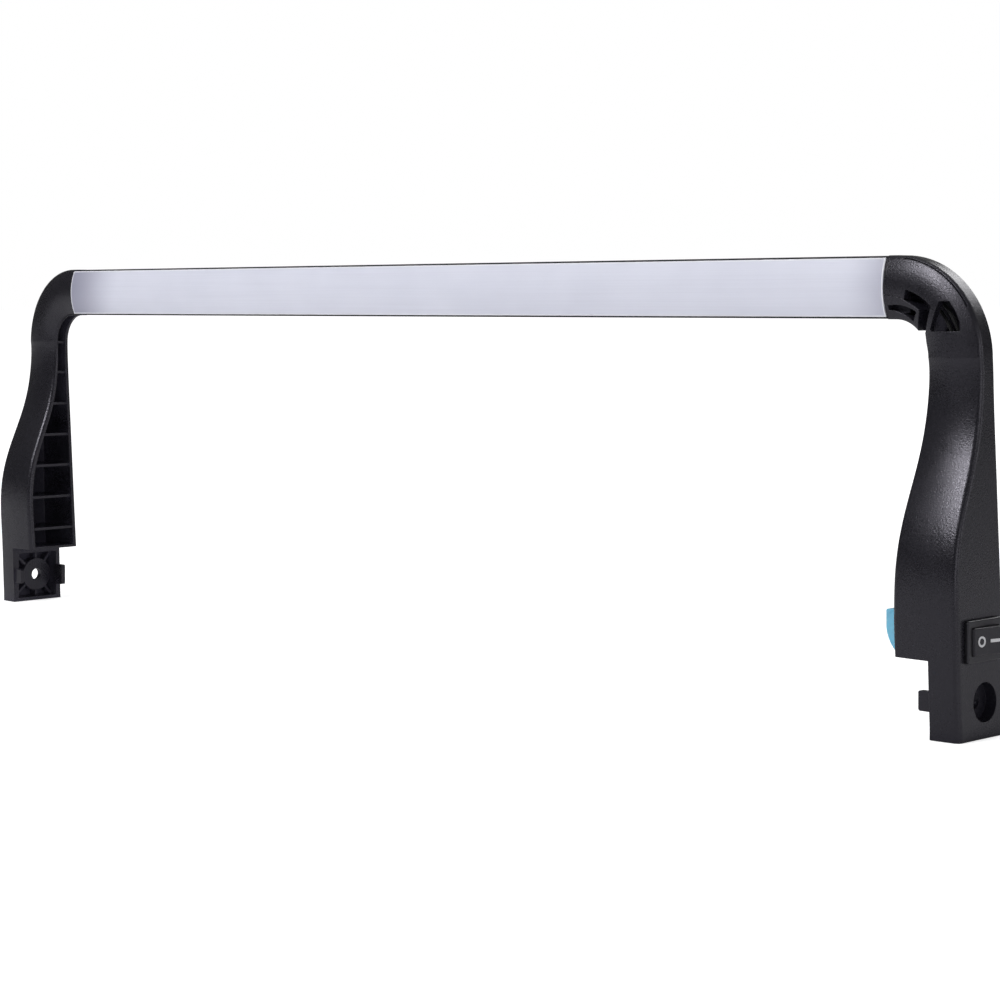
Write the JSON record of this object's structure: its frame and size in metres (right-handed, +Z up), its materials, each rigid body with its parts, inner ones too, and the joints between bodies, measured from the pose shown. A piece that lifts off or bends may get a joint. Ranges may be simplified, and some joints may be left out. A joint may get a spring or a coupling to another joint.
{
  "type": "picture light",
  "caption": "Slim LED light bar with a crowned diffuser on two curved bracket legs with fixing holes, hook tabs, a rocker switch and a sliding catch.",
  "frame": {"origin": "the middle of the left fixing hole, on the axis that both fixing holes share", "axes": "+X along the bar towards the leg with the switch, -Y out of the diffuser, +Z up from the feet to the bar"},
  "size_m": [0.6082, 0.0306, 0.1732],
  "materials": {
    "black_plastic": "fine spark-textured moulded ABS, satin black",
    "black_channel": "smooth satin black extruded profile",
    "diffuser_opal": "satin opal polycarbonate",
    "blue_plastic": "light blue translucent acetal",
    "switch_black": "semi-gloss black nylon",
    "white_print": "off-white filled marks",
    "contact_metal": "plated brass",
    "spring_steel": "drawn steel wire",
    "screw_steel": "black zinc plated steel",
    "board_green": "solder-masked fibreglass",
    "board_white": "white solder-masked aluminium strip board",
    "chip_yellow": "phosphor-covered LED packages",
    "component_dark": "moulded component bodies",
    "connector_cream": "natural nylon",
    "tape_grey": "thermal adhesive tape",
    "nickel": "nickel plate",
    "lead_sleeve": "PVC lead sleeve"
  },
  "bodies": {
    "frame": {"bar_housing": "black_channel", "diffuser": "diffuser_opal", "thermal_tape": "tape_grey", "led_board": "board_white", "led_chips": "chip_yellow", "led_connector": "connector_cream", "left_end_plug": "black_plastic", "right_end_plug": "black_plastic", "bar_screws": "screw_steel", "leg_screws": "screw_steel", "left_leg": "black_plastic", "right_leg": "black_plastic", "right_leg_cover": "black_plastic", "cover_screws": "screw_steel", "switch_body": "switch_black", "switch_terminals": "contact_metal", "catch_spring": "spring_steel", "catch_housing": "black_plastic", "catch_screws": "screw_steel", "driver_board": "board_green", "driver_parts": "component_dark", "driver_screws": "screw_steel", "power_socket": "switch_black", "socket_contacts": "contact_metal", "socket_nut": "nickel", "supply_leads": "lead_sleeve", "switch_leads": "lead_sleeve", "led_leads": "lead_sleeve"},
    "rocker": {"switch_rocker": "switch_black", "switch_marks": "white_print", "switch_plunger": "connector_cream", "switch_spring": "spring_steel"},
    "blade": {"contact_blade": "contact_metal"},
    "catch": {"release_catch": "blue_plastic"}
  },
  "joints": [
    {"name": "rocker_tilt", "type": "hinge", "parent": "frame", "child": "rocker", "pos_m": [0.59585, -0.0019, 0.02245], "axis": [0, 0, 1], "range_deg": [0, 20]},
    {"name": "blade_tilt", "type": "hinge", "parent": "frame", "child": "blade", "pos_m": [0.58855, -0.0019, 0.02245], "axis": [0, 0, 1], "range_deg": [-14, 0]},
    {"name": "catch_slide", "type": "slide", "parent": "frame", "child": "catch", "axis": [1, 0, 0], "range_m": [0, 0.0045], "deforming": ["catch_spring"]}
  ],
  "couplings": [
    {"joint": "blade_tilt", "follows": "rocker_tilt", "ratio": -0.7}
  ]
}
